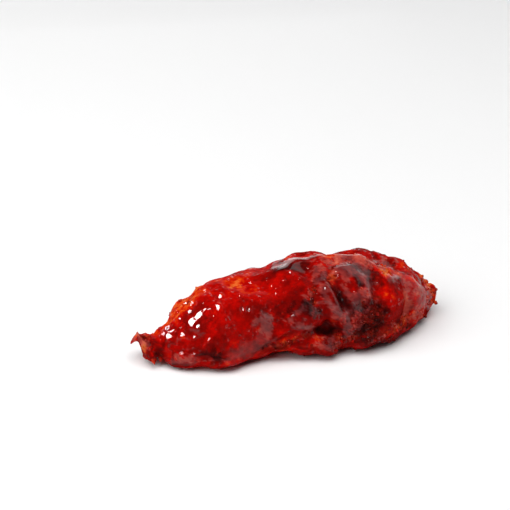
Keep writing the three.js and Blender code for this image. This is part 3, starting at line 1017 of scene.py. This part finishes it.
class NodeTree:
    # Adds nodes and links to a material or to a sky
    def __init__(self, owner):
        owner.use_nodes = True
        self.nodes = owner.node_tree.nodes
        self.links = owner.node_tree.links
        self.coordinates = self.nodes.new("ShaderNodeTexCoord").outputs

    def feed(self, value, socket):
        # A plain number sets the socket, an output is linked to it
        if isinstance(value, (int, float)):
            socket.default_value = value
        else:
            self.links.new(value, socket)

    def add(self, kind, **inputs):
        # A node with its sockets fed by name, an underscore standing for a space
        node = self.nodes.new("ShaderNode" + kind)
        for name, value in inputs.items():
            self.feed(value, node.inputs[name.replace("_", " ")])
        return node

    def attribute(self, name):
        # The vertices' own number of this name
        node = self.add("Attribute")
        node.attribute_name = name
        return node.outputs["Fac"]

    def noise(self, size, detail, roughness=0.5):
        # Noise with features of this size in mm
        place = self.coordinates["Object"]
        node = self.add("TexNoise", Scale=metre / size, Detail=detail, Roughness=roughness, Vector=place)
        return node.outputs["Fac"]

    def uneven(self, size, detail, roughness, amount):
        # Noise that swings between minus and plus the amount
        return self.mapRange(self.noise(size, detail, roughness), 0.3, 0.7, -amount, amount)

    def math(self, operation, *values):
        # The operation on two or three values
        node = self.add("Math")
        node.operation = operation
        for socket, value in zip(node.inputs, values):
            self.feed(value, socket)
        return node.outputs[0]

    def mapRange(self, value, fromMin, fromMax, toMin=0.0, toMax=1.0):
        # toMin at fromMin, toMax at fromMax, straight between and level outside
        node = self.add("MapRange", From_Min=fromMin, From_Max=fromMax, To_Min=toMin, To_Max=toMax)
        self.feed(value, node.inputs["Value"])
        return node.outputs["Result"]

    def ramp(self, value, stops):
        # Colours at places from 0 to 1 with straight blends between them
        node = self.add("ValToRGB", Fac=value)
        elements = node.color_ramp.elements
        while len(elements) < len(stops):
            elements.new(0.5)
        for element, (place, colour) in zip(elements, stops):
            element.position = place
            element.color = (*colour, 1.0)
        return node.outputs["Color"]

    def mix(self, factor, a, b):
        # a where the factor is 0, b where it is 1
        node = self.add("Mix", Factor=factor)
        node.data_type = "RGBA"
        self.feed(a, node.inputs[6])
        self.feed(b, node.inputs[7])
        return node.outputs[2]

    def beads(self, size, narrow, start, end):
        # Round caps, 1 - (narrow * distance)^2, at the random points whose number is over the start
        node = self.add("TexVoronoi", Scale=metre / size, Vector=self.coordinates["Object"])
        away = self.math("MULTIPLY", node.outputs["Distance"], narrow)
        cap = self.math("SUBTRACT", 1.0, self.math("MULTIPLY", away, away))
        split = self.add("SeparateColor", Color=node.outputs["Color"])
        chosen = self.mapRange(split.outputs[0], start, end)
        return self.math("MULTIPLY", self.math("MAXIMUM", cap, 0.0), chosen)

    def bump(self, height, strength, distance, **under):
        # Relief of this height in mm on top of the normal under it
        node = self.add("Bump", Height=height, Strength=strength, Distance=distance / metre, **under)
        return node.outputs["Normal"]


def glazedMaterial():
    # Glaze, dry crust and painted sheen are mixed by the vertices' numbers; the coat carries the gloss
    material = bpy.data.materials.new("stickyGlaze")
    tree = NodeTree(material)
    shader = tree.nodes["Principled BSDF"].inputs
    bareHere, pooledHere, paintedSheenHere = [tree.attribute(name) for name in ("bare", "pooled", "paintedSheen")]
    tone = tree.math("ADD", tree.attribute("tone"), tree.uneven(*finish["speckle"]))
    tone = tree.math("ADD", tone, tree.uneven(*finish["cloud"]))
    tone = tree.math("ADD", tone, tree.math("MULTIPLY", tree.uneven(*finish["toast"]), bareHere))
    colour = tree.mix(bareHere, tree.ramp(tone, finish["tones"]), tree.ramp(tone, finish["browns"]))
    # where the painted sheen is, the colour turns to a pale mauve that stands for a reflection
    tree.feed(tree.mix(paintedSheenHere, colour, tree.ramp(tone, finish["paintedSheenColours"])), shader["Base Color"])
    roughness = tree.mapRange(bareHere, 0.0, 1.0, finish["wetRoughness"], finish["bareRoughness"])
    tree.feed(roughness, shader["Roughness"])
    shader["Specular IOR Level"].default_value = finish["gloss"]
    wetCoat = tree.mapRange(pooledHere, 0.0, 1.0, finish["plainCoat"], finish["pooledCoat"])
    smooth = tree.math("MAXIMUM", pooledHere, paintedSheenHere)
    rough = tree.mapRange(smooth, *finish["dropEdges"], 1.0, 0.0)
    drops = tree.math("MULTIPLY", tree.beads(*finish["drops"]), rough)
    wetCoat = tree.math("MAXIMUM", wetCoat, tree.math("MULTIPLY", drops, finish["dropCoat"]))
    dry = tree.mapRange(bareHere, 0.0, 1.0, 1.0, finish["bareCoat"])
    tree.feed(tree.math("MULTIPLY", wetCoat, dry), shader["Coat Weight"])
    shader["Coat Roughness"].default_value = finish["coatRoughness"]
    shader["Subsurface Weight"].default_value = finish["scatter"]
    shader["Subsurface Radius"].default_value = finish["scatterColour"]
    shader["Subsurface Scale"].default_value = finish["scatterDepth"]
    relief = tree.bump(drops, 1.0, finish["dropHeight"])
    strength = tree.mapRange(pooledHere, *finish["waveEdges"], *finish["waveStrength"])
    relief = tree.bump(tree.noise(*finish["waves"]), strength, finish["waveHeight"], Normal=relief)
    strength = tree.mapRange(bareHere, 0.0, 1.0, *finish["grainStrength"])
    relief = tree.bump(tree.noise(*finish["grain"]), strength, finish["grainHeight"], Normal=relief)
    tree.feed(relief, shader["Normal"])
    tree.feed(relief, shader["Coat Normal"])
    return material


glazeMaterial = glazedMaterial()
for piece in (crustPiece, crumbPiece, shredPiece):
    piece.data.materials.append(glazeMaterial)
print("glaze mixed and put on three pieces")


studio = dict(
    floorHalf=2.5, floorDrop=0.0001,  # metres
    floorColour=(0.9, 0.9, 0.9), floorRoughness=0.9, floorGloss=0.1,
    aim=(0.0, 0.0, 0.015),  # the point that the lights face, in metres
    # each light: from where, how far away, side, power, whether gloss and whether matt surfaces see it
    lights=dict(
        keyGlint=((-0.68, 0.12, 0.72), 1.2, 0.28, 14.0, True, False),
        keyLight=((-0.60, -0.10, 0.79), 1.2, 1.3, 15.0, False, True),
        fillLight=((0.1, -0.25, 0.95), 3.0, 2.0, 55.0, False, True),
        rightCard=((0.78, 0.15, 0.60), 0.22, 0.31, 0.30, True, False),
        sideCard=((0.74, -0.56, 0.37), 0.30, 0.20, 0.12, True, False),
        backCard=((0.20, 0.96, 0.20), 0.35, 0.25, 0.31, True, False),
        frontCard=((0.40, -0.85, 0.40), 0.30, 0.24, 0.10, True, False),
    ),
    skyForCamera=1.0,
    skyDark=0.02,
    backdrop=1.3,
    backdropFrom=(0.75, 0.66),  # the way to the middle of the backdrop, in x and y
    backdropWidth=0.70,  # cosine at which the backdrop has come down to the floor
    backdropRise=0.55,  # sine of the height that the backdrop's edge reaches
    backdropEdge=(-0.01, 0.03),  # how softly it ends
)


def makeFloor():
    # One pale square, just low enough not to meet the tender's flat side
    half, low = studio["floorHalf"], -studio["floorDrop"]
    mesh = bpy.data.meshes.new("floor")
    corners = [(-half, -half, low), (half, -half, low), (half, half, low), (-half, half, low)]
    mesh.from_pydata(corners, [], [(0, 1, 2, 3)])
    material = bpy.data.materials.new("paleFloor")
    material.use_nodes = True
    shader = material.node_tree.nodes["Principled BSDF"].inputs
    shader["Base Color"].default_value = (*studio["floorColour"], 1.0)
    shader["Roughness"].default_value = studio["floorRoughness"]
    shader["Specular IOR Level"].default_value = studio["floorGloss"]
    mesh.materials.append(material)
    floor = newObject(mesh)


def makeAreaLight(name, direction, away, size, power, glossy, matt):
    # A square light at this distance along the direction from the aim, turned to face it
    light = bpy.data.lights.new(name, "AREA")
    light.shape = "SQUARE"
    light.size = size
    light.energy = power
    lamp = newObject(light)
    towards = Vector(direction).normalized()
    lamp.location = towards * away + Vector(studio["aim"])
    lamp.rotation_euler = towards.to_track_quat("Z", "Y").to_euler()
    lamp.visible_glossy = glossy
    lamp.visible_diffuse = matt
    lamp.visible_camera = False


def makeSky():
    # Seen by the camera it is white; for everything else it is a white backdrop low behind the tender
    # and dark above: white where height < rise * (towards - width) / (1 - width).
    world = bpy.data.worlds.new("studioSky")
    bpy.context.scene.world = world
    tree = NodeTree(world)
    way = tree.add("SeparateXYZ", Vector=tree.coordinates["Generated"]).outputs
    sideX, sideY = [tree.math("MULTIPLY", way[k], studio["backdropFrom"][k]) for k in (0, 1)]
    width = studio["backdropWidth"]
    towards = tree.math("ADD", sideX, sideY)
    share = tree.math("MULTIPLY_ADD", towards, 1.0 / (1.0 - width), -width / (1.0 - width))
    edge = tree.math("MULTIPLY", tree.math("MAXIMUM", share, 0.0), studio["backdropRise"])
    level = tree.math("SUBTRACT", edge, way[2])
    bright = tree.mapRange(level, *studio["backdropEdge"], studio["skyDark"], studio["backdrop"])
    seen = tree.add("Mix", Factor=tree.add("LightPath").outputs["Is Camera Ray"])
    tree.feed(bright, seen.inputs[2])
    tree.feed(studio["skyForCamera"], seen.inputs[3])
    background = tree.nodes["Background"].inputs
    tree.feed(seen.outputs[0], background["Strength"])
    background["Color"].default_value = (1.0, 1.0, 1.0, 1.0)


makeFloor()
for name, light in studio["lights"].items():
    makeAreaLight(name, *light)
makeSky()
print("floor, lights and sky set")

view = dict(
    azimuth=-20.0,
    elevation=30.0,
    lens=85.0,
    sensor=36.0,
    seen=188.0,  # width in mm that the picture shows at the tender's middle
    aside=(12.7, 15.5),  # mm that the tender lies right of and below the picture's middle
    middle=(0.0, 0.0, 17.0),
)


def makeCamera():
    # Stands at azimuth and elevation, seen * lens / sensor away, and aside in its own picture plane
    turn, rise = np.radians(view["azimuth"]), np.radians(view["elevation"])
    back = np.array((np.sin(turn) * np.cos(rise), -np.cos(turn) * np.cos(rise), np.sin(rise)))
    right = np.array((np.cos(turn), np.sin(turn), 0.0))
    up = np.cross(back, right)
    away = view["seen"] * view["lens"] / view["sensor"]
    aside = view["aside"]
    place = np.array(view["middle"]) - right * aside[0] + up * aside[1] + back * away
    camera = bpy.data.cameras.new("camera")
    camera.lens = view["lens"]
    camera.sensor_width = view["sensor"]
    camera.clip_end = 20.0
    viewer = newObject(camera)
    matrix = np.eye(4)
    matrix[:3] = np.column_stack((right, up, back, place / metre))
    viewer.matrix_world = Matrix(matrix.tolist())
    bpy.context.scene.camera = viewer


makeCamera()
bpy.context.scene.view_settings.view_transform = "Standard"
bpy.context.scene.view_settings.look = "None"
